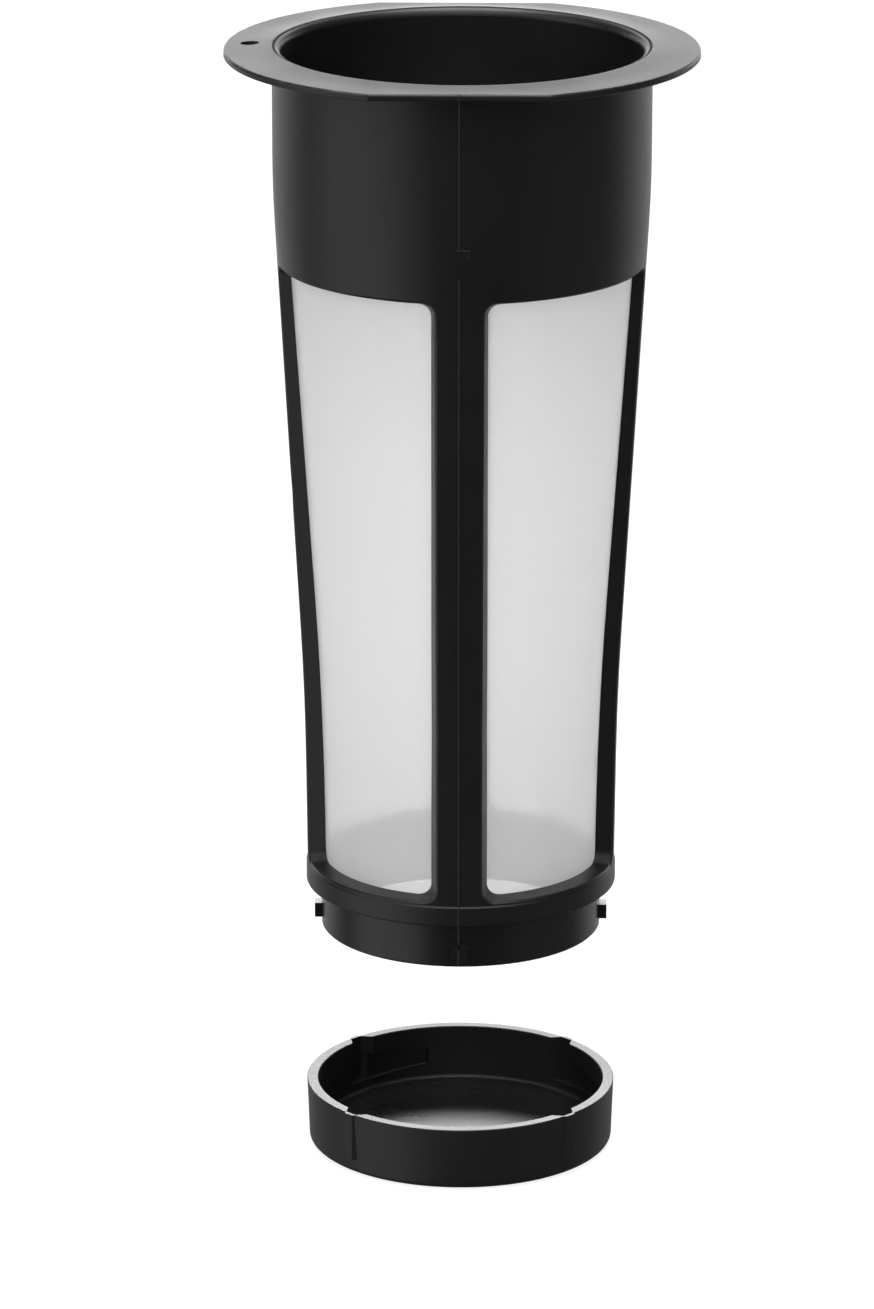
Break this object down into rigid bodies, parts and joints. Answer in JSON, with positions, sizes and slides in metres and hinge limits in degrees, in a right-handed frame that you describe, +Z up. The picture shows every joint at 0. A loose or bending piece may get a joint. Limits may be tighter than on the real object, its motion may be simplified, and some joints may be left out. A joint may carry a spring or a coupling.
{
  "type": "cold brew coffee strainer basket",
  "caption": "Tapered black strainer basket that hangs by its flange in the neck of a cold brew jug, with fine mesh windows and a twist-on bottom cap, shown lowered.",
  "frame": {"origin": "on the basket's axis, in the plane of the flange's underside, which rests on the neck of the jug", "axes": "+Z up along the axis, out of the mouth; -Y is the front; the flange's two flats face -Y and +Y; +X is to the right, and the vent hole lies at -X"},
  "size_m": [0.0886, 0.0822, 0.2162],
  "materials": {
    "frame_plastic": "moulded black polypropylene, satin with a fine drawn grain",
    "cap_plastic": "moulded black polypropylene, satin, the floor inside smoother and lightly scuffed",
    "filter_mesh": "fine woven white nylon filter screen"
  },
  "bodies": {
    "basket": {"basket_frame": "frame_plastic", "mesh_front_left": "filter_mesh", "mesh_front_right": "filter_mesh", "mesh_back_left": "filter_mesh", "mesh_back_right": "filter_mesh"},
    "cap": {"bottom_cap": "cap_plastic"}
  },
  "joints": [
    {"name": "cap_lift", "type": "slide", "parent": "basket", "child": "cap", "axis": [0, 0, 1], "range_m": [0, 0.0328]}
  ]
}
